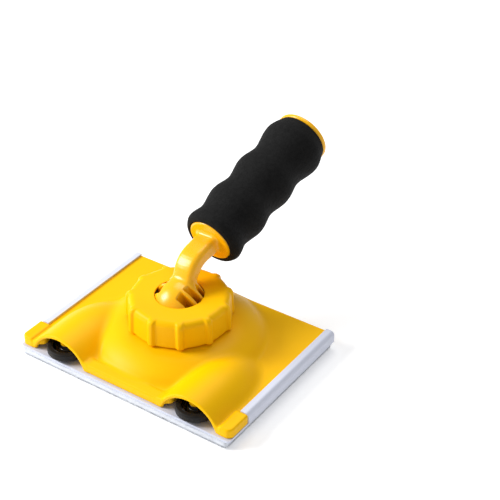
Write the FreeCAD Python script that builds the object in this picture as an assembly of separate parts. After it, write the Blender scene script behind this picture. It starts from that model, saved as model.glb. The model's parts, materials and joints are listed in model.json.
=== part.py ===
import FreeCAD, Part
import math
import os

from FreeCAD import Vector as V

# A hand-held paint pad edger: a moulded shell that carries a slide-on paint pad and two guide
# wheels, with a curved handle held in a clamped ball joint.
# Millimetres. +X across the tool, +Y towards the grip, +Z up.
# The origin is the centre of the pad's painting face.

X, Y, Z = V(1, 0, 0), V(0, 1, 0), V(0, 0, 1)

# Pad
PAD_W = 150.0
PAD_D = 109.0
NAP_T = 1.9
FOAM_T = 2.5
BACKING_T = 1.4
PAD_SIDE_INSET = 1.4
PAD_CORNER_R = 2.0
BACKING_FRONT_Y = -53.6
BACKING_Z = NAP_T + FOAM_T
BACKING_TOP_Z = BACKING_Z + BACKING_T

# Side rails of the pad's backing
RAIL_INNER_X = 69.5
RAIL_WALL_T = 1.6
RAIL_FRONT_Y = -35.0
RAIL_LIP_Z = 10.7
RAIL_TOP_Z = 11.9
RAIL_ROUND_R = 2.8

# Shell
SHELL_FRONT_Y = -52.3
SHELL_REAR_Y = 54.2
SHELL_SIDE_X = 73.1
SHELL_BOTTOM_Z = 6.0
DECK_Z = 10.5
DECK_T = 2.2
SKIRT_T = 2.2
TAB_REAR_Y = -35.5
TAB_TOP_Z = 12.1
TAB_CORNER_R = 4.0
LIP_TOP_Z = 11.6
LIP_HALF_W = 27.0
LIP_D = 7.0

# Wheel tunnels
TUNNEL_X = 46.5
TUNNEL_R = 21.7
TUNNEL_WALL = 2.5
TUNNEL_END_Y = -30.0
TUNNEL_TAPER = 41.0

# Wheel pockets, seen from above: a round well whose mouth flares to the arch at the front.
# The mouth's corners are given from the wheel's axis across, and along Y.
POCKET_R = 13.3
POCKET_WALL = 2.2
MOUTH_INNER = (5.0, -45.3)
MOUTH_OUTER = (24.0, -54.1)
MOUTH_FRONT_Y = -60.0

# Dome and the threaded neck of the shell
DOME_Y = 3.5
DOME_FOOT_R = 49.8
DOME_FOOT_BLEND = 3.0
DOME_TOP_R = 32.5
DOME_TOP_Z = 22.0
DOME_SLOPE = math.radians(55)
DOME_BULGE = 2.0
DOME_WALL = 2.4
NECK_R = 26.0
NECK_TOP_Z = 33.5
SOCKET_BORE_R = 21.0
SOCKET_WALL = 2.4
SOCKET_FLOOR_Z = 12.3
SOCKET_FLOOR_T = 2.4
SOCKET_DRAIN_R = 5.0

# Ball joint
BALL = V(0, DOME_Y, 31.1)
BALL_R = 16.0
SEAT_GAP = 0.06
SEAT_TOP_Z = 29.5
SEAT_SIDE_GAP = 0.08
SEAT_HOLE_R = 6.0
RING_BOTTOM_Z = 31.0
RING_TOP_Z = 36.1

# Clamp collar
COLLAR_BOTTOM_Z = 22.5
COLLAR_TOP_Z = 39.15
COLLAR_HOLE_R = 14.1
COLLAR_BORE_R = 26.1
COLLAR_ROOF_Z = 36.2
COLLAR_BALL_GAP = 0.35
COLLAR_RIDGES = 11
COLLAR_PHASE = math.radians(12.6)
RIDGE_R = 31.5
RIDGE_ROOT_R = 30.2
RIDGE_HALF_W = 2.0
SCALLOP_R = 29.6
COLLAR_DRAFT = 0.8
COLLAR_EDGE_R = 1.6

# Guide wheels
WHEEL_Y = -44.3
WHEEL_R = 11.8
WHEEL_Z0 = 8.3
WHEEL_Z1 = 12.9
TYRE_INNER_R = 8.8
TYRE_EDGE_R = 1.0
HUB_DISH_R = 7.6
HUB_DISH_DEPTH = 1.6
HUB_BOSS_R = 3.6
AXLE_R = 2.0
AXLE_GAP = 0.06
AXLE_HEAD_R = 3.8
AXLE_HEAD_Z = 6.5
AXLE_HEAD_T = 1.2
WASHER_T = 0.5
WASHER_R = 3.4
BOSS_R = 3.8
BOSS_BOTTOM_Z = 13.0
AXLE_TOP_Z = 19.0

# Handle: the grip's axis starts at the middle of the flange's lower face. The handle rests
# turned a little in its ball joint, about the line from the ball to the flange.
HANDLE_TURN_DEG = -6.0
GRIP_TILT = math.radians(17.1)
FLANGE_C = V(0, 33.5, 59.0)
G = V(0, math.cos(GRIP_TILT), math.sin(GRIP_TILT))
U = V(0, -math.sin(GRIP_TILT), math.cos(GRIP_TILT))
FLANGE_R = 14.2
FLANGE_T = 3.5
FLANGE_EDGE_R = 1.2
ARM_HALF_W = 7.6
ARM_EDGE_R = 2.6
POCKET_WEB = 6.4
POCKETS = ((-5.4, -0.4), (1.6, 6.0), (7.9, 11.8))
POCKET_FLOOR = -11.0
SPIGOT_R = 10.4
SPIGOT_END = 24.0
GRIP_LEN = 98.1
CORE_R = 13.0
CORE_END = 94.6
CORE_BORE_R = 10.5
SOCKET_INSERT_R = 12.0
SOCKET_INSERT_START = 66.0
POLE_R = 9.5
PIN_R = 1.5
PIN_AT = 14.0
FOAM_FLANGE_GAP = 0.1
# The foam's outer skin: distance along the grip's axis, and radius
FOAM_PROFILE = (
    (0.4, 15.4), (1.4, 17.4), (4.8, 18.9), (14.0, 17.1), (27.5, 19.3), (40.5, 17.0), (55.0, 19.2),
    (68.5, 17.0), (85.0, 19.8), (95.0, 17.0),
)
CAP_START = 95.0
CAP_R = 17.4
CAP_EDGE_R = 1.4


def box(x0, x1, y0, y1, z0, z1):
    return Part.makeBox(x1 - x0, y1 - y0, z1 - z0, V(x0, y0, z0))


def rounded_slab(x0, x1, y0, y1, z0, z1, radius):
    slab = box(x0, x1, y0, y1, z0, z1)
    upright = [e for e in slab.Edges if abs(e.tangentAt(e.FirstParameter).z) > 0.9]
    return slab.makeFillet(radius, upright)


def along_grip(t, u=0.0):
    """The point t along the grip's axis from the flange's face, u above the axis."""
    return FLANGE_C + G * t + U * u


def grip_cylinder(radius, start, end):
    return Part.makeCylinder(radius, end - start, along_grip(start), G)


def grip_ring(outer, inner, start, end):
    return grip_cylinder(outer, start, end).cut(grip_cylinder(inner, start, end))


def revolve(edges, at, axis):
    return Part.Face(Part.Wire(edges)).revolve(at, axis, 360)


def line(a, b):
    return Part.makeLine(a, b)


def arc(a, middle, b):
    return Part.Arc(a, middle, b).toShape()


def both_sides(make):
    """A shape made on the +X side, and the same on the -X side."""
    return make(1), make(-1)


# ---------------------------------------------------------------- pad

def pad_layer(z0, z1):
    half_w = PAD_W / 2 - PAD_SIDE_INSET
    return rounded_slab(-half_w, half_w, -PAD_D / 2, PAD_D / 2, z0, z1, PAD_CORNER_R)


def pad_rail(side):
    outer = PAD_W / 2
    rail = box(RAIL_INNER_X, outer, RAIL_FRONT_Y, SHELL_REAR_Y, BACKING_Z, RAIL_TOP_Z)
    top_outer = [
        e for e in rail.Edges
        if e.BoundBox.XMin > outer - 0.01 and e.BoundBox.ZMin > RAIL_TOP_Z - 0.01
    ]
    rail = rail.makeFillet(RAIL_ROUND_R, top_outer)
    channel = box(
        RAIL_INNER_X - 1, outer - RAIL_WALL_T, RAIL_FRONT_Y - 1, SHELL_REAR_Y + 1,
        BACKING_TOP_Z, RAIL_LIP_Z,
    )
    rail = rail.cut(channel)
    return rail if side > 0 else rail.mirror(V(0, 0, 0), X)


def make_pad_backing():
    half_w = PAD_W / 2
    plate = rounded_slab(
        -half_w, half_w, BACKING_FRONT_Y, SHELL_REAR_Y, BACKING_Z, BACKING_TOP_Z, PAD_CORNER_R
    )
    return plate.fuse(list(both_sides(pad_rail))).removeSplitter()


# ---------------------------------------------------------------- shell

def tunnel(side, radius, taper, front_y):
    """A round tunnel along Y whose inner end closes in a long half ellipse."""
    cx = side * TUNNEL_X
    ellipse = Part.Ellipse(V(cx, TUNNEL_END_Y + taper, 0), V(cx + radius, TUNNEL_END_Y, 0),
                           V(cx, TUNNEL_END_Y, 0))
    start = ellipse.parameter(V(cx + radius, TUNNEL_END_Y, 0))
    end = ellipse.parameter(V(cx, TUNNEL_END_Y + taper, 0))
    low, high = sorted((start, end))
    if high - low > math.pi:
        low, high = high, low + 2 * math.pi
    curve = Part.ArcOfEllipse(ellipse, low, high).toShape()
    edges = [
        line(V(cx, TUNNEL_END_Y + taper, 0), V(cx, front_y, 0)),
        line(V(cx, front_y, 0), V(cx + radius, front_y, 0)),
        line(V(cx + radius, front_y, 0), V(cx + radius, TUNNEL_END_Y, 0)),
        curve,
    ]
    return revolve(Part.__sortEdges__(edges), V(cx, 0, 0), Y)


def dome(inset):
    """The dome's outer skin, or the skin inset by a wall thickness."""
    foot_z = DECK_Z - inset
    foot_r = DOME_FOOT_R - inset
    rise_r = foot_r - DOME_FOOT_BLEND * math.sin(DOME_SLOPE)
    rise_z = foot_z + DOME_FOOT_BLEND * (1 - math.cos(DOME_SLOPE))
    half = DOME_SLOPE / 2
    blend_mid = (
        foot_r - DOME_FOOT_BLEND * math.sin(half),
        foot_z + DOME_FOOT_BLEND * (1 - math.cos(half)),
    )
    top_r = DOME_TOP_R - inset / 2
    top_z = DOME_TOP_Z - inset
    run = math.hypot(rise_r - top_r, top_z - rise_z)
    bulge_r = DOME_BULGE * (top_z - rise_z) / run
    bulge_z = DOME_BULGE * (rise_r - top_r) / run
    skin_mid = ((rise_r + top_r) / 2 + bulge_r, (rise_z + top_z) / 2 + bulge_z)

    def at(r, z):
        return V(r, DOME_Y, z)

    floor_z = foot_z - DECK_T
    edges = [
        line(at(0, floor_z), at(foot_r, floor_z)),
        line(at(foot_r, floor_z), at(foot_r, foot_z)),
        arc(at(foot_r, foot_z), at(*blend_mid), at(rise_r, rise_z)),
        arc(at(rise_r, rise_z), at(*skin_mid), at(top_r, top_z)),
        line(at(top_r, top_z), at(0, top_z)),
        line(at(0, top_z), at(0, floor_z)),
    ]
    return revolve(edges, V(0, DOME_Y, 0), Z)


def tab(side):
    """The raised front corner that the pad's rail stops against."""
    outer = PAD_W / 2
    block = box(RAIL_INNER_X - SKIRT_T, outer, SHELL_FRONT_Y, TAB_REAR_Y, SHELL_BOTTOM_Z, TAB_TOP_Z)
    front_corner = [
        e for e in block.Edges
        if e.BoundBox.XMin > outer - 0.01 and e.BoundBox.YMax < SHELL_FRONT_Y + 0.01
        and e.BoundBox.ZLength > 1
    ]
    block = block.makeFillet(TAB_CORNER_R, front_corner)
    top = [e for e in block.Edges if e.BoundBox.ZMin > TAB_TOP_Z - 0.01]
    block = block.makeFillet(0.9, top)
    return block if side > 0 else block.mirror(V(0, 0, 0), X)


def pocket_room(side, grow):
    """The wheel's pocket as a tall solid, with its walls moved out by grow."""
    height = TUNNEL_R - SHELL_BOTTOM_Z
    well = Part.makeCylinder(
        POCKET_R + grow, height, V(side * TUNNEL_X, WHEEL_Y, SHELL_BOTTOM_Z)
    )
    slant = math.hypot(MOUTH_OUTER[0] - MOUTH_INNER[0], MOUTH_OUTER[1] - MOUTH_INNER[1])
    rise = grow * slant / (MOUTH_OUTER[0] - MOUTH_INNER[0])
    right_half = [
        (MOUTH_OUTER[0], MOUTH_FRONT_Y),
        (MOUTH_OUTER[0], MOUTH_OUTER[1] + rise),
        (MOUTH_INNER[0], MOUTH_INNER[1] + rise),
    ]
    corners = right_half + [(-x, y) for x, y in reversed(right_half)]
    points = [V(side * TUNNEL_X + x, y, SHELL_BOTTOM_Z) for x, y in corners]
    mouth = Part.Face(Part.makePolygon(points + points[:1])).extrude(Z * height)
    return well.fuse(mouth)


def wheel_pocket(side):
    """The upright wall round the back and sides of a wheel, inside its tunnel."""
    wall = pocket_room(side, POCKET_WALL).cut(pocket_room(side, 0))
    overlap = TUNNEL_WALL / 2
    return wall.common(tunnel(side, TUNNEL_R - overlap, TUNNEL_TAPER - overlap, SHELL_FRONT_Y))


def wheel_boss(side):
    return Part.makeCylinder(
        BOSS_R, TUNNEL_R - 1 - BOSS_BOTTOM_Z, V(side * TUNNEL_X, WHEEL_Y, BOSS_BOTTOM_Z)
    )


def axle_hole(side):
    return Part.makeCylinder(
        AXLE_R, AXLE_TOP_Z - BOSS_BOTTOM_Z, V(side * TUNNEL_X, WHEEL_Y, BOSS_BOTTOM_Z)
    )


def make_base_shell():
    outside = box(
        -SHELL_SIDE_X, SHELL_SIDE_X, SHELL_FRONT_Y, SHELL_REAR_Y, SHELL_BOTTOM_Z, DECK_Z
    )
    front_lip = box(
        -LIP_HALF_W, LIP_HALF_W, SHELL_FRONT_Y, SHELL_FRONT_Y + LIP_D, SHELL_BOTTOM_Z, LIP_TOP_Z
    )
    outer_tunnels = [tunnel(s, TUNNEL_R, TUNNEL_TAPER, SHELL_FRONT_Y) for s in (1, -1)]
    outside = outside.fuse([front_lip, dome(0), *outer_tunnels, *both_sides(tab)])

    cavity = box(
        -SHELL_SIDE_X + SKIRT_T, SHELL_SIDE_X - SKIRT_T, SHELL_FRONT_Y + SKIRT_T,
        SHELL_REAR_Y - SKIRT_T, SHELL_BOTTOM_Z - 10, DECK_Z - DECK_T,
    )
    inner_r = TUNNEL_R - TUNNEL_WALL
    inner_taper = TUNNEL_TAPER - TUNNEL_WALL
    cavity = cavity.fuse([dome(DOME_WALL)])
    inner_tunnels = [tunnel(s, inner_r, inner_taper, SHELL_FRONT_Y - 5) for s in (1, -1)]
    shell = outside.cut([cavity, *inner_tunnels])
    below = box(-100, 100, -100, 100, -60, SHELL_BOTTOM_Z)
    shell = shell.cut(below)

    socket_outer_r = SOCKET_BORE_R + SOCKET_WALL
    socket_bottom_z = SOCKET_FLOOR_Z - SOCKET_FLOOR_T
    socket = Part.makeCylinder(
        socket_outer_r, DOME_TOP_Z - 1 - socket_bottom_z, V(0, DOME_Y, socket_bottom_z)
    )
    neck = Part.makeCylinder(
        NECK_R, NECK_TOP_Z - DOME_TOP_Z + 1, V(0, DOME_Y, DOME_TOP_Z - 1)
    )
    shell = shell.fuse([socket, neck, *both_sides(wheel_pocket), *both_sides(wheel_boss)])
    bore = Part.makeCylinder(
        SOCKET_BORE_R, NECK_TOP_Z - SOCKET_FLOOR_Z, V(0, DOME_Y, SOCKET_FLOOR_Z)
    )
    drain = Part.makeCylinder(SOCKET_DRAIN_R, SOCKET_FLOOR_T, V(0, DOME_Y, socket_bottom_z))
    return shell.cut([bore, drain, *both_sides(axle_hole)]).removeSplitter()


# ---------------------------------------------------------------- guide wheels

def wheel_axis(side, z):
    return V(side * TUNNEL_X, WHEEL_Y, z)


def make_wheel_hub(side):
    hub = Part.makeCylinder(TYRE_INNER_R, WHEEL_Z1 - WHEEL_Z0, wheel_axis(side, WHEEL_Z0))
    for z in (WHEEL_Z1 - HUB_DISH_DEPTH, WHEEL_Z0):
        dish = Part.makeCylinder(HUB_DISH_R, HUB_DISH_DEPTH, wheel_axis(side, z))
        hub = hub.cut(dish.cut(Part.makeCylinder(HUB_BOSS_R, HUB_DISH_DEPTH, wheel_axis(side, z))))
    bore = Part.makeCylinder(AXLE_R + AXLE_GAP, WHEEL_Z1 - WHEEL_Z0, wheel_axis(side, WHEEL_Z0))
    return hub.cut(bore)


def make_wheel_tyre(side):
    height = WHEEL_Z1 - WHEEL_Z0
    tyre = Part.makeCylinder(WHEEL_R, height, wheel_axis(side, WHEEL_Z0))
    rims = [e for e in tyre.Edges if e.Closed]
    tyre = tyre.makeFillet(TYRE_EDGE_R, rims)
    return tyre.cut(Part.makeCylinder(TYRE_INNER_R, height, wheel_axis(side, WHEEL_Z0)))


def axle_screw(side):
    """A shouldered screw with a pan head, put in from below."""
    head = Part.makeCylinder(AXLE_HEAD_R, AXLE_HEAD_T, wheel_axis(side, AXLE_HEAD_Z))
    lower_rim = [e for e in head.Edges if e.Closed and e.BoundBox.ZMax < AXLE_HEAD_Z + 0.01]
    head = head.makeFillet(0.5, lower_rim)
    shank_z = AXLE_HEAD_Z + AXLE_HEAD_T
    shank = Part.makeCylinder(AXLE_R, AXLE_TOP_Z - shank_z, wheel_axis(side, shank_z))
    slot = box(-0.4, 0.4, -2.4, 2.4, 0, 0.6)
    slot.translate(wheel_axis(side, AXLE_HEAD_Z))
    return head.fuse(shank).cut(slot).removeSplitter()


def axle_washer(side):
    z = AXLE_HEAD_Z + AXLE_HEAD_T
    ring = Part.makeCylinder(WASHER_R, WASHER_T, wheel_axis(side, z))
    return ring.cut(Part.makeCylinder(AXLE_R, WASHER_T, wheel_axis(side, z)))


# ---------------------------------------------------------------- ball joint

def make_ball_seat():
    bottom_z = SOCKET_FLOOR_Z + 0.05
    seat = Part.makeCylinder(
        SOCKET_BORE_R - SEAT_SIDE_GAP, SEAT_TOP_Z - bottom_z, V(0, DOME_Y, bottom_z)
    )
    hole = Part.makeCylinder(SEAT_HOLE_R, SEAT_TOP_Z - bottom_z, V(0, DOME_Y, bottom_z))
    return seat.cut([Part.makeSphere(BALL_R + SEAT_GAP, BALL), hole])


def make_clamp_ring():
    ring = Part.makeCylinder(
        SOCKET_BORE_R - SEAT_SIDE_GAP, RING_TOP_Z - RING_BOTTOM_Z, V(0, DOME_Y, RING_BOTTOM_Z)
    )
    return ring.cut(Part.makeSphere(BALL_R + SEAT_GAP, BALL))


def collar_outline(z, grow):
    """The collar's ridged outline at height z, as arcs, with every radius grown a little."""
    half_ridge = RIDGE_HALF_W / RIDGE_ROOT_R
    step = 2 * math.pi / COLLAR_RIDGES

    def at(r, angle):
        return V((r + grow) * math.cos(angle), DOME_Y + (r + grow) * math.sin(angle), z)

    edges = []
    for k in range(COLLAR_RIDGES):
        middle = COLLAR_PHASE + k * step
        left, right = middle - half_ridge, middle + half_ridge
        edges.append(arc(at(RIDGE_ROOT_R, left), at(RIDGE_R, middle), at(RIDGE_ROOT_R, right)))
        edges.append(arc(at(RIDGE_ROOT_R, right), at(SCALLOP_R, middle + step / 2),
                         at(RIDGE_ROOT_R, left + step)))
    return Part.Wire(edges)


def make_clamp_collar():
    shoulder_z = COLLAR_TOP_Z - COLLAR_EDGE_R
    outlines = [
        collar_outline(COLLAR_BOTTOM_Z, COLLAR_DRAFT),
        collar_outline(shoulder_z, 0.0),
    ]
    top_outlines = [collar_outline(shoulder_z, 0.0), collar_outline(COLLAR_TOP_Z, -COLLAR_EDGE_R)]
    collar = Part.makeLoft(outlines, True, True).fuse(Part.makeLoft(top_outlines, True, True))
    bore = Part.makeCylinder(
        COLLAR_BORE_R, COLLAR_ROOF_Z - COLLAR_BOTTOM_Z, V(0, DOME_Y, COLLAR_BOTTOM_Z)
    )
    hole = Part.makeCylinder(
        COLLAR_HOLE_R, COLLAR_TOP_Z - COLLAR_BOTTOM_Z, V(0, DOME_Y, COLLAR_BOTTOM_Z)
    )
    ball_room = Part.makeSphere(BALL_R + COLLAR_BALL_GAP, BALL)
    return collar.cut([bore, hole, ball_room]).removeSplitter()


# ---------------------------------------------------------------- handle

def arm_blade():
    """The flat curved arm between the ball and the flange, as a side outline made thick."""
    def at(y, z):
        return V(-ARM_HALF_W, y, z)

    flange_top = along_grip(0.5, 5.6)
    flange_low = along_grip(0.5, -5.0)
    front_foot, front_start = at(4.6, 36.0), at(5.6, 45.6)
    front_mid, front_end = at(9.9, 55.6), at(19.4, 61.4)
    back_end, back_mid, back_start = at(22.6, 52.3), at(16.2, 49.2), at(12.9, 43.4)
    back_foot = at(11.6, 36.0)
    top, low = at(flange_top.y, flange_top.z), at(flange_low.y, flange_low.z)
    edges = [
        line(front_foot, front_start),
        arc(front_start, front_mid, front_end),
        line(front_end, top),
        line(top, low),
        line(low, back_end),
        arc(back_end, back_mid, back_start),
        line(back_start, back_foot),
        line(back_foot, front_foot),
    ]
    blade = Part.Face(Part.Wire(edges)).extrude(V(2 * ARM_HALF_W, 0, 0))
    long_edges = [
        e for e in blade.Edges
        if e.BoundBox.XLength < 0.01 and e.BoundBox.ZMax > 37 and not is_flange_end(e)
    ]
    return blade.makeFillet(ARM_EDGE_R, long_edges)


def is_flange_end(edge):
    ends = [v.Point for v in edge.Vertexes]
    return all((p - along_grip(0.5)).dot(G) > -0.01 for p in ends)


def ball_pocket(side, low, high):
    """A slot cored into the ball's side, square to the grip's axis."""
    width = BALL_R - POCKET_WEB + 2
    slot = Part.makeBox(width, high - low, 2 * BALL_R)
    slot.translate(V(POCKET_WEB, low, POCKET_FLOOR))
    slot.rotate(V(0, 0, 0), X, math.degrees(GRIP_TILT))
    slot.translate(BALL)
    return slot if side > 0 else slot.mirror(V(0, 0, 0), X)


def make_handle_arm():
    ball = Part.makeSphere(BALL_R, BALL, Y)
    pockets = [ball_pocket(s, low, high) for low, high in POCKETS for s in (1, -1)]
    ball = ball.cut(pockets)
    flange = grip_cylinder(FLANGE_R, 0, FLANGE_T)
    flange = flange.makeFillet(FLANGE_EDGE_R, [e for e in flange.Edges if e.Closed])
    spigot = grip_cylinder(SPIGOT_R, FLANGE_T, SPIGOT_END)
    pin_hole = Part.makeCylinder(PIN_R, 2 * CORE_R, along_grip(PIN_AT) - X * CORE_R, X)
    arm = ball.fuse([arm_blade(), flange, spigot])
    return arm.cut(pin_hole).removeSplitter()


def make_grip_core():
    core = grip_ring(CORE_R, CORE_BORE_R, FLANGE_T, CORE_END)
    counterbore = grip_cylinder(SOCKET_INSERT_R, SOCKET_INSERT_START, CORE_END)
    pin_hole = Part.makeCylinder(PIN_R, 2 * CORE_R, along_grip(PIN_AT) - X * CORE_R, X)
    return core.cut([counterbore, pin_hole])


def make_core_pin():
    half = CORE_R - 0.3
    return Part.makeCylinder(PIN_R, 2 * half, along_grip(PIN_AT) - X * half, X)


def make_foam_grip():
    """A foam sleeve with four finger bulges, stepped at its mouth to lie round the flange."""
    skin_points = [along_grip(t, r) for t, r in FOAM_PROFILE]
    skin = Part.BSplineCurve()
    skin.interpolate(skin_points)
    mouth_t, end_t = FOAM_PROFILE[0][0], FOAM_PROFILE[-1][0]
    flange_room = FLANGE_R + FOAM_FLANGE_GAP
    corner = along_grip(FLANGE_T, CORE_R)
    step = along_grip(FLANGE_T, flange_room)
    mouth = along_grip(mouth_t, flange_room)
    far = along_grip(end_t, CORE_R)
    edges = [
        line(corner, step),
        line(step, mouth),
        line(mouth, skin_points[0]),
        skin.toShape(),
        line(skin_points[-1], far),
        line(far, corner),
    ]
    return revolve(edges, FLANGE_C, G)


def make_end_cap():
    cap = grip_cylinder(CAP_R, CAP_START, GRIP_LEN)
    outer_rim = [e for e in cap.Edges if e.Closed]
    cap = cap.makeFillet(CAP_EDGE_R, outer_rim)
    return cap.cut(grip_cylinder(SOCKET_INSERT_R, CAP_START, GRIP_LEN))


def make_pole_socket():
    return grip_ring(SOCKET_INSERT_R, POLE_R, SOCKET_INSERT_START, GRIP_LEN)


def make_handle():
    """The handle's nodes, turned together in the ball joint."""
    handle = {
        "handle_arm": make_handle_arm(),
        "grip_core": make_grip_core(),
        "core_pin": make_core_pin(),
        "foam_grip": make_foam_grip(),
        "end_cap": make_end_cap(),
        "pole_socket": make_pole_socket(),
    }
    for shape in handle.values():
        shape.rotate(BALL, FLANGE_C - BALL, HANDLE_TURN_DEG)
    return handle


def make_all():
    return {
        "pad_nap": pad_layer(0, NAP_T),
        "pad_foam": pad_layer(NAP_T, BACKING_Z),
        "pad_backing": make_pad_backing(),
        "base_shell": make_base_shell(),
        "wheel_hub_right": make_wheel_hub(1),
        "wheel_hub_left": make_wheel_hub(-1),
        "wheel_tyre_right": make_wheel_tyre(1),
        "wheel_tyre_left": make_wheel_tyre(-1),
        "axle_screws": Part.makeCompound(both_sides(axle_screw)),
        "axle_washers": Part.makeCompound(both_sides(axle_washer)),
        "ball_seat": make_ball_seat(),
        "clamp_ring": make_clamp_ring(),
        "clamp_collar": make_clamp_collar(),
        **make_handle(),
    }


def main():
    os.makedirs("parts", exist_ok=True)
    for name, shape in make_all().items():
        solids = shape.Solids
        print(f"{name:18s} valid={shape.isValid()} solids={len(solids)} volume={shape.Volume:10.1f}")
        shape.exportStep(f"parts/{name}.step")


main()
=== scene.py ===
import json
import math
from itertools import product

import bpy
import numpy as np
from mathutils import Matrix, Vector


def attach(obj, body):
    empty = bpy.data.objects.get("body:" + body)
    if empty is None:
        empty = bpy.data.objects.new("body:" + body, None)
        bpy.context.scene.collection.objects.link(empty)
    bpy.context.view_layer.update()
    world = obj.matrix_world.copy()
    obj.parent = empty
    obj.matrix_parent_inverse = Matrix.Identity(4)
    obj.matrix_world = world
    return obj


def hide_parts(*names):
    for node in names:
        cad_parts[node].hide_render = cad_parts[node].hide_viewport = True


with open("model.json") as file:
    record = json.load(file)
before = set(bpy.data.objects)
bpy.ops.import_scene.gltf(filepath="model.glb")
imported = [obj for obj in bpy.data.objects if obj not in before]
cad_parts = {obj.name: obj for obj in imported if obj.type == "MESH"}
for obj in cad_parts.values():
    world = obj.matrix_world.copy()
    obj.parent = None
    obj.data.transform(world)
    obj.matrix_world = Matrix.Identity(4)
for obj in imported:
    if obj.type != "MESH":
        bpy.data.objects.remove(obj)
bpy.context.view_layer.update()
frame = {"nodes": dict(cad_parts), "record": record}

# The shapes are worked out in millimetres, in the row frame: +X across the tool, +Y towards the
# grip, +Z up. Meshes are scaled to metres as they are made.
MM = 0.001
SEED = 7
FAR_BELOW = -20

# Shell
SHELL_X, SHELL_Y0, SHELL_Y1 = 73.1, -52.3, 54.2
SHELL_Z0, DECK_Z = 6.0, 10.5
SHELL_CORNER = 2.0
SKIRT_T, DECK_T = 2.2, 2.2
LIP_HALF_W, LIP_Y1, LIP_Z = 27.0, -45.3, 11.6
TAB_X0, TAB_X1, TAB_Y1, TAB_Z = 67.3, 75.0, -35.5, 12.1
TUNNEL_X, TUNNEL_R, TUNNEL_TAPER, TUNNEL_END_Y = 46.5, 21.7, 41.0, -30.0
TUNNEL_WALL = 2.5
DOME_R, DOME_RISE, DOME_Z, DOME_TOP_Z, DOME_WALL = 51.5, 20.5, 6.0, 22.0, 2.4
HUB_Y = 3.5
NECK_R, NECK_Z1, SOCKET_R, SOCKET_WALL_R = 26.0, 33.5, 21.0, 23.4
SOCKET_FLOOR_Z0, SOCKET_FLOOR_Z1, DRAIN_R = 9.9, 12.3, 5.0
BOSS_R, BOSS_Z0, BOSS_Z1, AXLE_R = 3.8, 13.0, 20.5, 2.0
WHEEL_Y, WHEEL_Z0, WHEEL_T = -44.3, 8.3, 4.6
POCKET_R, POCKET_WALL = 13.3, 2.2
MOUTH_X, MOUTH_Y, MOUTH_OUT = 12.7, -48.9, (0.42, 0.907)

# Collar
COLLAR_Z0, COLLAR_Z1 = 22.5, 39.15
COLLAR_BORE_R, COLLAR_ROOF_Z, COLLAR_HOLE_R, COLLAR_BALL_R = 26.1, 36.2, 14.1, 16.35
COLLAR_RIDGES, COLLAR_PHASE = 11, math.radians(12.6)
COLLAR_DRAFT = 0.8
COLLAR_R, COLLAR_FACET_BOW, COLLAR_TOP_EDGE = 29.5, 0.7, 4.2
RIDGE_R, RIDGE_H, RIDGE_HALF_FOOT, RIDGE_FLANK = 30.3, 1.3, 2.9, 1.9

# Handle, before it is turned in its ball joint
BALL = np.array((0.0, 3.5, 31.1))
BALL_R = 16.0
FLANGE = np.array((0.0, 33.5, 59.0))
GRIP_TILT = math.radians(17.1)
HANDLE_TURN = math.radians(-6.0)
GRIP = np.array((0.0, math.cos(GRIP_TILT), math.sin(GRIP_TILT)))
GRIP_UP = np.array((0.0, -math.sin(GRIP_TILT), math.cos(GRIP_TILT)))
ARM_HALF_W, ARM_EDGE = 7.6, 3.3
ARM_CROWN, CROWN_LOW, CROWN_HIGH = 0.016, 43.0, 49.0
FLANGE_R, FLANGE_T = 14.2, 3.5
SPIGOT_R, SPIGOT_END = 10.4, 24.0
POCKETS = ((-5.4, -0.4), (1.6, 6.0), (7.9, 11.8))
POCKET_WEB, POCKET_FLOOR = 6.4, -11.0
FOAM_END, FOAM_BORE_R = 94.9, 13.0

# Wheels
TYRE_R, TYRE_BORE_R, HUB_BORE_R = 11.8, 8.8, 2.06

# The noise values that a finish runs between
NOISE_LOW, NOISE_HIGH = 0.3, 0.7


# ---------------------------------------------------------------- distance fields
# Fields are in millimetres, negative inside. k is the width of the blend between two of them.

def smooth_union(a, b, k):
    h = np.maximum(k - np.abs(a - b), 0) / k
    return np.minimum(a, b) - h * h * k / 4


def smooth_common(a, b, k):
    return -smooth_union(-a, -b, k)


def smooth_cut(a, b, k):
    return smooth_common(a, -b, k)


def join_round(side, cap, edge):
    """The solid where both distances are negative, with its shared edge rounded."""
    a, b = side + edge, cap + edge
    return np.minimum(np.maximum(a, b), 0) + np.hypot(np.maximum(a, 0), np.maximum(b, 0)) - edge


def rectangle(x, y, half_x, half_y, corner):
    a, b = np.abs(x) - half_x + corner, np.abs(y) - half_y + corner
    return np.minimum(np.maximum(a, b), 0) + np.hypot(np.maximum(a, 0), np.maximum(b, 0)) - corner


def plate(p, x0, x1, y0, y1, z0, z1, corner, edge):
    flat = rectangle(p[..., 0] - (x0 + x1) / 2, p[..., 1] - (y0 + y1) / 2,
                     (x1 - x0) / 2, (y1 - y0) / 2, corner)
    tall = np.abs(p[..., 2] - (z0 + z1) / 2) - (z1 - z0) / 2
    return join_round(flat, tall, edge)


def both_sides(p):
    """The points with X made positive, so that a right-hand shape appears on both sides."""
    return np.stack([np.abs(p[..., 0]), p[..., 1], p[..., 2]], -1)


def upright(p, x, y, radius, z0, z1, edge=0.3):
    side = np.hypot(p[..., 0] - x, p[..., 1] - y) - radius
    return join_round(side, np.abs(p[..., 2] - (z0 + z1) / 2) - (z1 - z0) / 2, edge)


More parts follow.
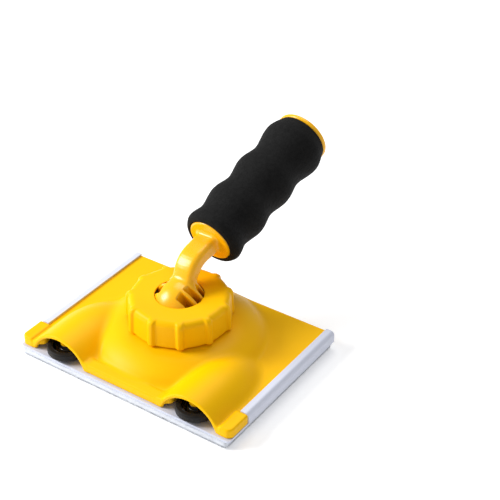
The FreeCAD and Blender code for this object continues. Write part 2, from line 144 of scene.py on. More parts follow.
def lattice_noise(p, cell, seed):
    """Smooth noise from -1 to 1 whose features are about one cell across."""
    q = p / cell
    base = np.floor(q).astype(np.int64)
    f = q - base
    f = f * f * (3 - 2 * f)
    total = np.zeros(p.shape[:-1])
    for corner in product((0, 1), repeat=3):
        c = base + np.array(corner)
        h = c[..., 0] * 73856093 ^ c[..., 1] * 19349663 ^ c[..., 2] * 83492791 ^ seed * 2654435
        h = (h ^ (h >> 13)) * 1274126177
        value = ((h ^ (h >> 16)) & 0xFFFF) / 32767.5 - 1
        weight = np.ones(p.shape[:-1])
        for axis in range(3):
            weight = weight * (f[..., axis] if corner[axis] else 1 - f[..., axis])
        total += value * weight
    return total


# ---------------------------------------------------------------- meshes

def make_mesh(name, points, faces):
    mesh = bpy.data.meshes.new(name)
    mesh.vertices.add(len(points))
    mesh.vertices.foreach_set("co", (points * MM).astype(np.float32).ravel())
    sides = faces.shape[1]
    mesh.loops.add(faces.size)
    mesh.loops.foreach_set("vertex_index", faces.astype(np.int32).ravel())
    mesh.polygons.add(len(faces))
    mesh.polygons.foreach_set("loop_start", np.arange(0, faces.size, sides, dtype=np.int32))
    mesh.update(calc_edges=True)
    mesh.validate()
    mesh.polygons.foreach_set("use_smooth", np.full(len(mesh.polygons), True))
    mesh.update()
    thing = bpy.data.objects.new(name, mesh)
    bpy.context.scene.collection.objects.link(thing)
    return thing


def grid_values(field, axes):
    planes = []
    for x in axes[0]:
        p = np.stack(np.meshgrid([x], axes[1], axes[2], indexing="ij"), -1)
        planes.append(field(p)[0])
    return np.array(planes)


def settle(field, points, reach):
    """Moves points onto the field's surface, each by at most the reach."""
    eps = 0.05
    for _ in range(3):
        value = field(points)
        slope = np.stack([
            (field(points + eps * axis) - field(points - eps * axis)) / (2 * eps)
            for axis in np.eye(3)
        ], -1)
        size = np.maximum((slope ** 2).sum(-1), 0.2)
        move = slope * (value / size)[:, None]
        length = np.maximum(np.linalg.norm(move, axis=-1), 1e-9)
        points = points - move * np.minimum(1, reach / length)[:, None]
    return points


def surface_net(field, low, high, step):
    """A quad mesh of the field's zero surface inside a box."""
    axes = [np.arange(a, b + step, step) for a, b in zip(low, high)]
    value = grid_values(field, axes)
    inside = value < 0
    cells = tuple(n - 1 for n in value.shape)
    count = sum(
        inside[i:i + cells[0], j:j + cells[1], k:k + cells[2]].astype(np.int8)
        for i, j, k in product((0, 1), repeat=3)
    )
    mixed = (count > 0) & (count < 8)
    number = np.full(cells, -1, np.int64)
    number[mixed] = np.arange(mixed.sum())
    cell = np.argwhere(mixed)
    total, hits = np.zeros((len(cell), 3)), np.zeros(len(cell))
    for axis, (u, v) in product(range(3), product((0, 1), repeat=2)):
        start = np.zeros(3, int)
        start[(axis + 1) % 3], start[(axis + 2) % 3] = u, v
        along = np.eye(3, dtype=int)[axis]
        a, b = value[tuple((cell + start).T)], value[tuple((cell + start + along).T)]
        cross = (a < 0) != (b < 0)
        t = np.where(cross, a / np.where(cross, a - b, 1), 0)
        total[cross] += (cell + start + t[:, None] * along)[cross]
        hits[cross] += 1
    points = np.array([axis[0] for axis in axes]) + step * total / hits[:, None]
    points = settle(field, points, 0.6 * step)

    faces = []
    for axis in range(3):
        u, v = np.eye(3, dtype=int)[(axis + 1) % 3], np.eye(3, dtype=int)[(axis + 2) % 3]
        near = np.take(inside, range(inside.shape[axis] - 1), axis)
        far = np.take(inside, range(1, inside.shape[axis]), axis)
        edge = np.argwhere(near != far)
        limit = np.array(cells)
        limit[axis] += 1
        held = np.all((edge < limit) & (edge - u - v >= 0), axis=1)
        edge = edge[held]
        quad = np.stack([number[tuple((edge - d).T)] for d in (0 * u, u, u + v, v)], -1)
        out = near[tuple(edge.T)]
        quad[~out] = quad[~out][:, ::-1]
        faces.append(quad)
    return points, np.concatenate(faces)


def net_piece(name, field, low, high, step):
    points, faces = surface_net(field, low, high, step * (1.0))
    return make_mesh(name, points, faces)


def round_corners(corners, radii, per_arc=5):
    """A closed outline with each corner replaced by an arc."""
    out = []
    count = len(corners)
    for i, radius in enumerate(radii):
        here = np.array(corners[i], float)
        before, after = np.array(corners[i - 1], float), np.array(corners[(i + 1) % count], float)
        if radius <= 0:
            out.append(here)
            continue
        a, b = before - here, after - here
        a, b = a / np.linalg.norm(a), b / np.linalg.norm(b)
        half = math.acos(float(np.clip(a @ b, -1, 1))) / 2
        cut = radius / math.tan(half)
        middle = (a + b) / np.linalg.norm(a + b) * radius / math.sin(half)
        start, end = a * cut - middle, b * cut - middle
        for t in np.linspace(0, 1, per_arc):
            way = start * (1 - t) + end * t
            out.append(here + middle + way / np.linalg.norm(way) * radius)
    return np.array(out)


def resample(outline, step):
    """Points about one step apart along a closed outline."""
    closed = np.vstack([outline, outline[:1]])
    run = np.concatenate([[0], np.cumsum(np.linalg.norm(np.diff(closed, axis=0), axis=1))])
    at = np.linspace(0, run[-1], max(int(run[-1] / step), 8), endpoint=False)
    return np.stack([np.interp(at, run, closed[:, i]) for i in range(2)], -1)


def lathe(name, outline, centre, axis, around, change=None):
    """Turns a closed outline of (along, radius) points about an axis. change may move the points."""
    axis = np.array(axis, float)
    side = np.cross(axis, (0.0, 0.3, 1.0) if abs(axis[0]) > 0.5 else (1.0, 0.0, 0.0))
    side /= np.linalg.norm(side)
    other = np.cross(axis, side)
    turn = np.linspace(0, 2 * math.pi, around, endpoint=False)
    spoke = np.cos(turn)[:, None] * side + np.sin(turn)[:, None] * other
    along, radius = outline[None, :, 0] + 0 * turn[:, None], outline[None, :, 1] + 0 * turn[:, None]
    if change is not None:
        along, radius = change(along, radius, turn[:, None] + 0 * along, spoke)
    points = np.array(centre) + along[..., None] * axis + radius[..., None] * spoke[:, None, :]
    rings, steps = points.shape[:2]
    i, j = np.meshgrid(np.arange(rings), np.arange(steps), indexing="ij")
    quad = [i * steps + j, i * steps + (j + 1) % steps,
            (i + 1) % rings * steps + (j + 1) % steps, (i + 1) % rings * steps + j]
    faces = np.stack(quad, -1).reshape(-1, 4)
    return make_mesh(name, points.reshape(-1, 3), faces)


# ---------------------------------------------------------------- shell

def tunnels(p, radius, taper):
    """Round tunnels along Y on both sides, each closed at the rear by half an ellipsoid."""
    side = np.hypot(np.abs(p[..., 0]) - TUNNEL_X, p[..., 2])
    y = p[..., 1] - TUNNEL_END_Y
    return np.where(y > 0, rounded_end(side, y, radius, taper), side - radius)


def rounded_end(side, along, radius, length):
    """Distance to a half ellipsoid of that radius and length."""
    scaled = np.sqrt((side / radius) ** 2 + (along / length) ** 2)
    spread = np.sqrt((side / radius ** 2) ** 2 + (along / length ** 2) ** 2)
    return scaled * (scaled - 1) / np.maximum(spread, 1e-4)


def dome(p, inset):
    side = np.hypot(p[..., 0], p[..., 1] - HUB_Y)
    cap = rounded_end(side, p[..., 2] - DOME_Z, DOME_R - inset, DOME_RISE - inset)
    return smooth_common(cap, p[..., 2] - (DOME_TOP_Z - inset), 3.0)


def wheel_bosses(p, radius, z0, z1):
    return upright(both_sides(p), TUNNEL_X, WHEEL_Y, radius, z0, z1)


def wheel_room(p):
    """The pocket round a wheel: a round well whose mouth flares to the arch."""
    across = np.abs(np.abs(p[..., 0]) - TUNNEL_X)
    well = np.hypot(across, p[..., 1] - WHEEL_Y) - POCKET_R
    mouth = (across - MOUTH_X) * MOUTH_OUT[0] + (p[..., 1] - MOUTH_Y) * MOUTH_OUT[1]
    return smooth_union(well, mouth, 3.0)


def corner_tabs(p):
    mirrored = both_sides(p)
    block = plate(mirrored, TAB_X0 - 6, TAB_X1, SHELL_Y0, TAB_Y1 + 8, FAR_BELOW, TAB_Z, 3.6, 1.0)
    block = smooth_common(block, TAB_X0 - mirrored[..., 0], 1.2)
    return smooth_common(block, mirrored[..., 1] - TAB_Y1, 0.8)


def shell_field(p):
    z = p[..., 2]
    outside = plate(p, -SHELL_X, SHELL_X, SHELL_Y0, SHELL_Y1, FAR_BELOW, DECK_Z, SHELL_CORNER, 0.7)
    lip = plate(p, -LIP_HALF_W, LIP_HALF_W, SHELL_Y0, LIP_Y1, FAR_BELOW, LIP_Z, 1.2, 1.0)
    outside = smooth_union(outside, lip, 1.5)
    outside = smooth_union(outside, dome(p, 0), 2.6)
    arches = smooth_common(tunnels(p, TUNNEL_R, TUNNEL_TAPER), SHELL_Y0 - p[..., 1], 1.2)
    outside = smooth_union(outside, arches, 3.4)
    outside = smooth_common(outside, SHELL_Y0 - p[..., 1], 1.2)
    outside = smooth_union(outside, corner_tabs(p), 1.2)

    inner = plate(p, SKIRT_T - SHELL_X, SHELL_X - SKIRT_T, SHELL_Y0 + SKIRT_T, SHELL_Y1 - SKIRT_T,
                  FAR_BELOW, DECK_Z - DECK_T, 1.0, 0.6)
    inner = smooth_union(inner, dome(p, DOME_WALL), 3.0)
    hollow = tunnels(p, TUNNEL_R - TUNNEL_WALL, TUNNEL_TAPER - TUNNEL_WALL)
    room = wheel_room(p)
    hollow = smooth_cut(hollow, np.maximum(-room, room - POCKET_WALL), 0.8)
    inner = smooth_union(inner, hollow, 2.0)
    shell = smooth_cut(outside, inner, 1.2)
    shell = smooth_common(shell, SHELL_Z0 - z, 0.8)

    socket = upright(p, 0, HUB_Y, SOCKET_WALL_R, SOCKET_FLOOR_Z0, DOME_TOP_Z - 1)
    neck = upright(p, 0, HUB_Y, NECK_R - thread(p), DOME_TOP_Z - 2, NECK_Z1, 0.6)
    shell = smooth_union(shell, smooth_union(socket, neck, 1.0), 1.5)
    shell = smooth_union(shell, wheel_bosses(p, BOSS_R, BOSS_Z0, BOSS_Z1), 1.2)
    shell = smooth_cut(shell, upright(p, 0, HUB_Y, SOCKET_R, SOCKET_FLOOR_Z1, 60), 0.6)
    shell = smooth_cut(shell, upright(p, 0, HUB_Y, DRAIN_R, 0, 40), 0.6)
    return smooth_cut(shell, wheel_bosses(p, AXLE_R, 0, 19.0), 0.3)


def thread(p):
    """Depth of the screw thread cut round the neck."""
    pitch, depth = 4.0, 1.1
    first_z, run_in = 23.5, 1.5
    turn = np.arctan2(p[..., 1] - HUB_Y, p[..., 0]) / (2 * math.pi)
    phase = (p[..., 2] / pitch - turn) % 1.0
    ridge = np.clip(2.4 * np.abs(phase - 0.5) - 0.35, 0, 0.6) / 0.6
    fade = np.clip((p[..., 2] - first_z) / run_in, 0, 1)
    return depth * ridge * fade


# ---------------------------------------------------------------- collar

def collar_field(p):
    x, y, z = p[..., 0], p[..., 1] - HUB_Y, p[..., 2]
    radius = np.hypot(x, y)
    step = 2 * math.pi / COLLAR_RIDGES
    offset = (np.arctan2(y, x) - COLLAR_PHASE + step / 2) % step - step / 2
    arc = np.abs(offset) * RIDGE_R
    rise = np.clip((RIDGE_HALF_FOOT - arc) / RIDGE_FLANK, 0, 1)
    rise = rise * rise * (3 - 2 * rise)
    between = 1 - np.abs(offset) / (step / 2)
    reach = COLLAR_R + COLLAR_FACET_BOW * between ** 2 + RIDGE_H * rise
    reach = reach + COLLAR_DRAFT * (COLLAR_Z1 - z) / (COLLAR_Z1 - COLLAR_Z0)
    solid = smooth_common(radius - reach, z - COLLAR_Z1, COLLAR_TOP_EDGE)
    solid = smooth_common(solid, COLLAR_Z0 - z, 0.8)
    solid = smooth_cut(solid, upright(p, 0, HUB_Y, COLLAR_BORE_R, 0, COLLAR_ROOF_Z), 0.4)
    solid = smooth_cut(solid, radius - COLLAR_HOLE_R, 0.8)
    return smooth_cut(solid, np.linalg.norm(p - BALL, axis=-1) - COLLAR_BALL_R, 0.4)


# ---------------------------------------------------------------- handle

def arc_points(a, middle, b, count=12):
    """Points on the circle through three points, from a to b."""
    a, middle, b = (np.array(q, float) for q in (a, middle, b))
    m = np.array((middle - a, b - a)) * 2
    v = np.array(((middle @ middle) - (a @ a), (b @ b) - (a @ a)))
    centre = np.linalg.solve(m, v)
    r = np.linalg.norm(a - centre)
    spokes = [math.atan2(*(q - centre)[::-1]) for q in (a, middle, b)]
    sweep = np.unwrap(spokes)
    t = np.linspace(sweep[0], sweep[2], count)
    return centre + r * np.stack([np.cos(t), np.sin(t)], -1)


def arm_outline():
    """The arm's side outline, as (y, z) points."""
    top = FLANGE + GRIP * 0.5 + GRIP_UP * 5.6
    low = FLANGE + GRIP * 0.5 - GRIP_UP * 5.0
    return np.vstack([
        [(4.6, 36.0)],
        arc_points((5.6, 45.6), (9.9, 55.6), (19.4, 61.4)),
        [top[1:], low[1:]],
        arc_points((22.6, 52.3), (16.2, 49.2), (12.9, 43.4)),
        [(11.6, 36.0)],
    ])


ARM_OUTLINE = arm_outline()


def polygon(y, z, corners):
    """Signed distance to a closed outline, negative inside."""
    best = np.full(y.shape, np.inf)
    inside = np.zeros(y.shape, bool)
    for (ay, az), (by, bz) in zip(corners, np.roll(corners, -1, axis=0)):
        ey, ez = by - ay, bz - az
        t = np.clip(((y - ay) * ey + (z - az) * ez) / (ey * ey + ez * ez), 0, 1)
        best = np.minimum(best, (y - ay - t * ey) ** 2 + (z - az - t * ez) ** 2)
        crosses = (az > z) != (bz > z)
        inside ^= crosses & (y < ey * (z - az) / (ez if ez else 1e-9) + ay)
    return np.where(inside, -1, 1) * np.sqrt(best)


def grip_place(p):
    """(distance along the grip's axis, distance from it)."""
    away = p - FLANGE
    t = away @ GRIP
    return t, np.linalg.norm(away - t[..., None] * GRIP, axis=-1)


def grip_disc(p, radius, start, end, edge):
    t, r = grip_place(p)
    return join_round(r - radius, np.abs(t - (start + end) / 2) - (end - start) / 2, edge)


def ball_pockets(p):
    away = p - BALL
    along, up = away @ GRIP, away @ GRIP_UP
    out = np.full(along.shape, 1e3)
    for low, high in POCKETS:
        span = np.abs(along - (low + high) / 2) - (high - low) / 2
        deep = join_round(span, POCKET_WEB - np.abs(away[..., 0]), 0.5)
        out = np.minimum(out, join_round(deep, POCKET_FLOOR - up, 0.5))
    return out


def arm_field(p):
    ball = np.linalg.norm(p - BALL, axis=-1) - BALL_R
    ball = smooth_cut(ball, ball_pockets(p), 0.7)
    crown = ARM_CROWN * np.clip((p[..., 2] - CROWN_LOW) / (CROWN_HIGH - CROWN_LOW), 0, 1)
    bowed = p[..., 1] - crown * p[..., 0] ** 2
    blade = join_round(polygon(bowed, p[..., 2], ARM_OUTLINE), np.abs(p[..., 0]) - ARM_HALF_W,
                       ARM_EDGE)
    arm = smooth_union(ball, blade, 4.0)
    arm = smooth_union(arm, grip_disc(p, FLANGE_R, 0, FLANGE_T, 1.1), 3.0)
    return smooth_union(arm, grip_disc(p, SPIGOT_R, FLANGE_T - 1, SPIGOT_END, 0.6), 0.8)


def turned(piece):
    """Turns a handle piece to where the handle rests in its ball joint."""
    axis = (FLANGE - BALL) / np.linalg.norm(FLANGE - BALL)
    co = np.empty(len(piece.data.vertices) * 3, np.float32)
    piece.data.vertices.foreach_get("co", co)
    v = co.reshape(-1, 3) / MM - BALL
    cos, sin = math.cos(HANDLE_TURN), math.sin(HANDLE_TURN)
    v = v * cos + np.cross(axis, v) * sin + np.outer(v @ axis, axis) * (1 - cos)
    piece.data.vertices.foreach_set("co", ((v + BALL) * MM).astype(np.float32).ravel())
    piece.data.update()
    return piece


FOAM_SKIN = ((0.5, 15.9), (1.4, 17.4), (4.8, 18.9), (14.0, 17.1), (27.5, 19.3), (40.5, 17.0),
             (55.0, 19.2), (68.5, 17.0), (85.0, 19.8), (FOAM_END, 17.0))


def smooth_curve(knots, count):
    """A curve through knots, with slopes that keep each wave's top and bottom at its knot."""
    t, r = np.array(knots, float).T
    slope = np.zeros(len(t))
    slope[0], slope[-1] = (r[1] - r[0]) / (t[1] - t[0]), (r[-1] - r[-2]) / (t[-1] - t[-2])
    slope[1] = (r[2] - r[0]) / (t[2] - t[0])
    at = np.linspace(t[0], t[-1], count)
    k = np.clip(np.searchsorted(t, at, "right") - 1, 0, len(t) - 2)
    h = t[k + 1] - t[k]
    s = (at - t[k]) / h
    value = (
        (2 * s ** 3 - 3 * s ** 2 + 1) * r[k] + (s ** 3 - 2 * s ** 2 + s) * h * slope[k]
        + (3 * s ** 2 - 2 * s ** 3) * r[k + 1] + (s ** 3 - s ** 2) * h * slope[k + 1]
    )
    return np.stack([at, value], -1)


def foam_grip():
    skin = smooth_curve(FOAM_SKIN, 300)
    bore = [(FOAM_END, FOAM_BORE_R), (FLANGE_T, FOAM_BORE_R), (FLANGE_T, FLANGE_R + 0.1),
            (0.8, FLANGE_R + 0.1), (0.4, FLANGE_R + 0.5), (0.35, FLANGE_R + 1.2)]
    outline = resample(np.vstack([skin, bore]), 0.36)

    def pores(along, radius, turn, spoke):
        p = FLANGE + along[..., None] * GRIP + radius[..., None] * spoke[:, None, :]
        cells = lattice_noise(p, 0.9, SEED)
        pits = np.clip(cells - 0.35, 0, 1) * 0.28
        lumps = 0.05 * lattice_noise(p, 2.2, SEED + 1) + 0.10 * lattice_noise(p, 9.0, SEED + 2)
        outer = radius > FLANGE_R + 0.2
        return along, radius + np.where(outer, lumps - pits - 0.02, 0)

    return turned(lathe("foam_sleeve", outline, FLANGE, GRIP, 330, pores))


def pole_socket():
    """The threaded insert in the grip's end: the thread's crests are at the socket's radius."""
    start, end, outer, crest = 66.0, 98.1, 12.0, 9.5
    pitch, depth = 5.08, 1.3
    wall = [(t, crest) for t in np.linspace(end - 0.3, start, 260)]
    outline = np.vstack([[(start, outer), (end, outer), (end, crest + 0.3)], wall])

    def cut(along, radius, turn, spoke):
        phase = (along / pitch - turn / (2 * math.pi)) % 1.0
        groove = np.clip(1.5 - 3.2 * np.abs(phase - 0.5), 0, 1)
        inside = np.clip((along - start - 1.0) / 2.0, 0, 1)
        return along, radius + np.where(radius < crest + 0.1, depth * groove * inside, 0)

    return turned(lathe("pole_thread", outline, FLANGE, GRIP, 96, cut))


# ---------------------------------------------------------------- wheels

def wheel_pieces(side):
    name = "right" if side > 0 else "left"
    centre = (side * TUNNEL_X, WHEEL_Y, WHEEL_Z0)
    tyre = round_corners(
        [(0, TYRE_BORE_R), (0, TYRE_R), (WHEEL_T, TYRE_R), (WHEEL_T, TYRE_BORE_R)],
        [0.2, 1.0, 1.0, 0.2])
    tyre_piece = lathe(f"tyre_{name}", resample(tyre, 0.25), centre, (0, 0, 1), 160, tyre_grain)
    hub = round_corners(
        [(0, HUB_BORE_R), (0, 3.6), (1.3, 4.3), (1.3, 7.3), (0, 8.0), (0, TYRE_BORE_R),
         (WHEEL_T, TYRE_BORE_R), (WHEEL_T, 8.2), (2.7, 7.3), (2.6, 4.4), (WHEEL_T, 3.5),
         (WHEEL_T, HUB_BORE_R)],
        [0.15, 0.4, 0.5, 0.5, 0.2, 0.1, 0.1, 0.3, 0.8, 0.8, 0.4, 0.15])
    hub_piece = lathe(f"hub_{name}", hub, centre, (0, 0, 1), 96)
    return tyre_piece, hub_piece


def tyre_grain(along, radius, turn, spoke):
    """Fine moulding lines round the tyre's tread."""
    tread_r, lines, depth = 11.6, 72, 0.06
    groove = depth * (0.5 + 0.5 * np.cos(turn * lines))
    return along, radius - np.where(radius > tread_r, groove, 0)


# ---------------------------------------------------------------- pad

PAD_X, PAD_Y = 73.6, 54.5


def pad_foam_field(p):
    body = plate(p, -PAD_X, PAD_X, -PAD_Y, PAD_Y, 1.85, 4.4, 2.0, 0.25)
    pores = np.clip(lattice_noise(p, 1.1, SEED + 5) - 0.3, 0, 1) * 0.35
    return body + pores


def nap_field(p):
    body = plate(p, 0.35 - PAD_X, PAD_X - 0.35, 0.35 - PAD_Y, PAD_Y - 0.35, 0.6, 2.1, 2.0, 0.4)
    return body + 0.12 * lattice_noise(p, 1.6, SEED + 6) + 0.08 * lattice_noise(p, 0.8, SEED + 8)


def outline_roots(count, random):
    """Points round the pad's edge, with the way out from each."""
    corner = 2.0
    half = np.array((PAD_X - 0.6, PAD_Y - 0.6))
    straight = 2 * (half - corner)
    run = np.array([straight[0], straight[1], straight[0], straight[1]])
    bend = corner * math.pi / 2
    at = random.uniform(0, run.sum() + 4 * bend, count)
    places, ways = np.zeros((count, 2)), np.zeros((count, 2))
    starts = np.concatenate([[0], np.cumsum(np.stack([run, np.full(4, bend)], -1).ravel())])
    corners = np.array([(1, -1), (1, 1), (-1, 1), (-1, -1)]) * (half - corner)
    for i in range(4):
        heading = math.pi / 2 * (i - 1)
        out = np.array((math.cos(heading), math.sin(heading)))
        along = np.array((-out[1], out[0]))
        pick = (at >= starts[2 * i]) & (at < starts[2 * i + 1])
        t = (at[pick] - starts[2 * i])[:, None]
        places[pick] = corners[i - 1] + out * corner + along * t
        ways[pick] = out
        pick = (at >= starts[2 * i + 1]) & (at < starts[2 * i + 2])
        a = heading + (at[pick] - starts[2 * i + 1]) / corner
        spoke = np.stack([np.cos(a), np.sin(a)], -1)
        places[pick] = corners[i] + spoke * corner
        ways[pick] = spoke
    return places, ways


def fibres(name, roots, ways, length, width, random):
    """Short tapering fibres, each a slim three-sided spike."""
    ways = ways / np.linalg.norm(ways, axis=1)[:, None]
    side = np.cross(ways, random.normal(size=ways.shape))
    side /= np.linalg.norm(side, axis=1)[:, None]
    other = np.cross(ways, side)
    base = [roots + width * (math.cos(a) * side + math.sin(a) * other)
            for a in (0, 2 * math.pi / 3, 4 * math.pi / 3)]
    tip = roots + ways * length[:, None]
    points = np.stack([*base, tip], 1).reshape(-1, 3)
    first = np.arange(len(roots))[:, None] * 4
    faces = np.concatenate([first + np.array(f) for f in ((0, 1, 3), (1, 2, 3), (2, 0, 3))])
    return make_mesh(name, points, faces)


def nap_fibres():
    random = np.random.default_rng(SEED)
    edge_count, face_count = ((26000, 60000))
    places, ways = outline_roots(edge_count, random)
    height = random.uniform(0.7, 1.8, edge_count)
    edge_roots = np.column_stack([places, height])
    edge_ways = np.column_stack([ways, (height - 1.5) * 0.9]) + random.normal(0, 0.22, (edge_count, 3))
    face_roots = np.column_stack([
        random.uniform(1.6 - PAD_X, PAD_X - 1.6, face_count),
        random.uniform(1.6 - PAD_Y, PAD_Y - 1.6, face_count),
        random.uniform(0.75, 1.0, face_count),
    ])
    face_ways = np.array((0, 0, -1.0)) + random.normal(0, 0.4, (face_count, 3)) * (1, 1, 0.1)
    roots, ways = np.vstack([edge_roots, face_roots]), np.vstack([edge_ways, face_ways])
    length = np.concatenate([random.uniform(0.5, 0.85, edge_count),
                             random.uniform(0.5, 0.8, face_count)])
    return fibres("nap_fibres", roots, ways, length, 0.075, random)


# ---------------------------------------------------------------- materials

def shader_nodes(name):
    material = bpy.data.materials.new(name)
    material.use_nodes = True
    nodes, links = material.node_tree.nodes, material.node_tree.links
    return material, nodes, links, nodes["Principled BSDF"]


def noise_node(nodes, links, scale, detail=3.0, stretch=(1, 1, 1)):
    place = nodes.new("ShaderNodeTexCoord")
    mapping = nodes.new("ShaderNodeMapping")
    mapping.inputs["Scale"].default_value = stretch
    noise = nodes.new("ShaderNodeTexNoise")
    noise.inputs["Scale"].default_value = scale
    noise.inputs["Detail"].default_value = detail
    links.new(place.outputs["Object"], mapping.inputs["Vector"])
    links.new(mapping.outputs["Vector"], noise.inputs["Vector"])
    return noise


def ramp_between(nodes, links, source, low, high):
    ramp = nodes.new("ShaderNodeValToRGB")
    ramp.color_ramp.elements[0].position = NOISE_LOW
    ramp.color_ramp.elements[1].position = NOISE_HIGH
    ramp.color_ramp.elements[0].color = (*low, 1)
    ramp.color_ramp.elements[1].color = (*high, 1)
    links.new(source, ramp.inputs["Fac"])
    return ramp.outputs["Color"]


def range_between(nodes, links, source, low, high):
    span = nodes.new("ShaderNodeMapRange")
    span.inputs["From Min"].default_value = NOISE_LOW
    span.inputs["From Max"].default_value = NOISE_HIGH
    span.inputs["To Min"].default_value = low
    span.inputs["To Max"].default_value = high
    links.new(source, span.inputs["Value"])
    return span.outputs["Result"]


def bump_from(nodes, links, source, strength, distance):
    bump = nodes.new("ShaderNodeBump")
    bump.inputs["Strength"].default_value = strength
    bump.inputs["Distance"].default_value = distance
    links.new(source, bump.inputs["Height"])
    return bump.outputs["Normal"]


def grained(name, dark, light, rough, tone_scale=18.0, grain_scale=2600.0, bump=0.12,
            distance=0.00004, stretch=(1, 1, 1), **sockets):
    """A finish whose tone and gloss drift slowly, over a fine surface grain."""
    material, nodes, links, shader = shader_nodes(name)
    tone = noise_node(nodes, links, tone_scale, 4.0)
    grain = noise_node(nodes, links, grain_scale, stretch=stretch)
    tones, grains = tone.outputs["Fac"], grain.outputs["Fac"]
    links.new(ramp_between(nodes, links, tones, dark, light), shader.inputs["Base Color"])
    links.new(range_between(nodes, links, grains, *rough), shader.inputs["Roughness"])
    links.new(bump_from(nodes, links, grains, bump, distance), shader.inputs["Normal"])
    for socket, value in sockets.items():
        shader.inputs[socket.replace("_", " ")].default_value = value
    return material


def make_materials():
    return {
        "yellow_plastic": grained(
            "yellow_plastic", (0.95, 0.50, 0.0), (0.99, 0.545, 0.0), (0.36, 0.44),
            Specular_IOR_Level=0.10),
        "arm_plastic": grained(
            "arm_plastic", (0.97, 0.47, 0.0), (1.0, 0.51, 0.0), (0.24, 0.32),
            Specular_IOR_Level=0.5),
        "white_plastic": grained(
            "white_plastic", (0.64, 0.67, 0.79), (0.70, 0.73, 0.85), (0.25, 0.35),
            Specular_IOR_Level=0.3),
        "nap": grained(
            "nap", (0.67, 0.70, 0.76), (0.75, 0.78, 0.83), (0.85, 1.0), tone_scale=300.0,
            grain_scale=1500.0, bump=0.5, distance=0.0002, Sheen_Weight=0.3),
        "pad_foam": grained(
            "pad_foam", (0.66, 0.69, 0.76), (0.74, 0.77, 0.83), (0.8, 0.95), tone_scale=200.0,
            grain_scale=900.0, bump=0.4, distance=0.0002),
        "black_plastic": grained(
            "black_plastic", (0.003, 0.003, 0.003), (0.006, 0.005, 0.005), (0.16, 0.28),
            Specular_IOR_Level=0.3),
        "black_rubber": grained(
            "black_rubber", (0.008, 0.007, 0.007), (0.014, 0.012, 0.011), (0.5, 0.65),
            grain_scale=1400.0, bump=0.25, distance=0.0001, Specular_IOR_Level=0.2),
        "grip_foam": grained(
            "grip_foam", (0.003, 0.003, 0.003), (0.007, 0.007, 0.007), (0.7, 0.95),
            tone_scale=420.0, grain_scale=1900.0, bump=0.6, distance=0.0002,
            Specular_IOR_Level=0.18),
        "seat_plastic": grained(
            "seat_plastic", (0.10, 0.10, 0.11), (0.14, 0.14, 0.15), (0.4, 0.55)),
        "steel": grained(
            "steel", (0.50, 0.50, 0.52), (0.62, 0.62, 0.64), (0.22, 0.42), grain_scale=1200.0,
            stretch=(1, 1, 0.1), Metallic=1.0),
    }


# ---------------------------------------------------------------- camera, lights and floor

AIM = Vector((0.0161, 0.0520, 0.0486))
CAMERA_AZIMUTH = math.radians(34.48)
CAMERA_ELEVATION = math.radians(34.08)
CAMERA_DISTANCE = 0.7709
CAMERA_LENS = 93.6


def make_camera():
    data = bpy.data.cameras.new("camera")
    data.lens = CAMERA_LENS
    data.sensor_width = 36.0
    data.clip_start = 0.01
    data.clip_end = 20.0
    camera = bpy.data.objects.new("camera", data)
    bpy.context.scene.collection.objects.link(camera)
    flat = math.cos(CAMERA_ELEVATION)
    back = Vector((
        math.sin(CAMERA_AZIMUTH) * flat, -math.cos(CAMERA_AZIMUTH) * flat, math.sin(CAMERA_ELEVATION)
    ))
    camera.location = AIM + back * CAMERA_DISTANCE
    camera.rotation_mode = "QUATERNION"
    camera.rotation_quaternion = (-back).to_track_quat("-Z", "Y")
    bpy.context.scene.camera = camera


def area_light(name, position, target, size, power):
    data = bpy.data.lights.new(name, "AREA")
    data.shape = "RECTANGLE"
    data.size, data.size_y = size
    data.energy = power
    light = bpy.data.objects.new(name, data)
    bpy.context.scene.collection.objects.link(light)
    light.location = position
    aim = Vector(target) - Vector(position)
    light.rotation_mode = "QUATERNION"
    light.rotation_quaternion = aim.to_track_quat("-Z", "Y")


def make_lights():
    area_light("key_light", (-0.70, -0.42, 0.55), (0, 0.02, 0.03), (0.40, 0.40), 10.0)
    area_light("top_light", (-0.15, 0.45, 0.85), (0, 0.03, 0.03), (0.7, 0.5), 3.6)


def make_world():
    world = bpy.data.worlds.new("world")
    bpy.context.scene.world = world
    world.use_nodes = True
    background = world.node_tree.nodes["Background"]
    background.inputs["Color"].default_value = (1, 1, 1, 1)
    background.inputs["Strength"].default_value = 0.40


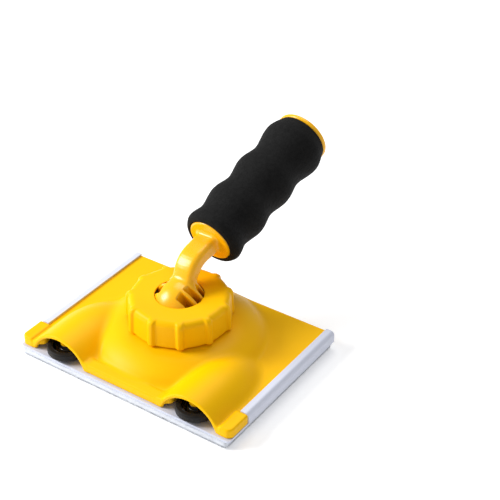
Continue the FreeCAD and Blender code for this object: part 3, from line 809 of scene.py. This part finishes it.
def make_floor():
    half = 3.0
    corners = np.array([(-half, -half, 0), (half, -half, 0), (half, half, 0), (-half, half, 0)])
    floor = make_mesh("floor", corners / MM, np.array([(0, 1, 2, 3)]))
    floor.location.z = -0.0002
    material, _, _, shader = shader_nodes("floor_paper")
    shader.inputs["Base Color"].default_value = (0.95, 0.95, 0.955, 1)
    shader.inputs["Roughness"].default_value = 0.6
    shader.inputs["Emission Color"].default_value = (1, 1, 1, 1)
    shader.inputs["Emission Strength"].default_value = 0.26
    floor.data.materials.append(material)


# ---------------------------------------------------------------- putting it together

MATERIALS = make_materials()
SLOT_OF = {s["node"]: s["material_slot"] for s in frame["record"]["subparts"]}


def place(piece, body, node, fill=None, stands_for=True):
    """Gives a piece its body and the finish of the CAD node it stands for, and hides that node unless
    stands_for is false.
    """
    piece.data.materials.append(MATERIALS[SLOT_OF[node]])
    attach(piece, body)
    if stands_for:
        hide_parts(node)


def dress_cad_nodes():
    for node, thing in frame["nodes"].items():
        for slot in thing.material_slots:
            slot.material = MATERIALS[SLOT_OF[node]]
        if node in ("pad_backing", "ball_seat", "clamp_ring", "grip_core"):
            bevel = thing.modifiers.new("edge", "BEVEL")
            bevel.width = 0.0003
            bevel.segments = 2
            bevel.limit_method = "ANGLE"
            bevel.harden_normals = False


dress_cad_nodes()
place(net_piece("shell", shell_field, (-77, -54, 5), (77, 56, 35), 0.6), "base", "base_shell")
place(net_piece("collar", collar_field, (-34, -30, 21), (34, 37, 41), 0.42),
      "collar", "clamp_collar")
place(turned(net_piece("arm", arm_field, (-17, -14, 13), (17, 60, 76), 0.45)),
      "handle", "handle_arm")
place(foam_grip(), "handle", "foam_grip", fill=1.0)
place(pole_socket(), "handle", "pole_socket")
for wheel_side, wheel_name in ((1, "right"), (-1, "left")):
    tyre_piece, hub_piece = wheel_pieces(wheel_side)
    place(tyre_piece, f"wheel_{wheel_name}", f"wheel_tyre_{wheel_name}")
    place(hub_piece, f"wheel_{wheel_name}", f"wheel_hub_{wheel_name}")
place(net_piece("pad_foam_layer", pad_foam_field, (-75, -56, 1), (75, 56, 5), 0.6),
      "pad", "pad_foam", fill=1.0)
place(net_piece("nap_backing", nap_field, (-75, -56, 0), (75, 56, 2.6), 0.6),
      "pad", "pad_nap", fill=1.0)
place(nap_fibres(), "pad", "pad_nap", stands_for=False)

make_camera()
make_lights()
make_world()
make_floor()
bpy.context.scene.view_settings.view_transform = "Standard"
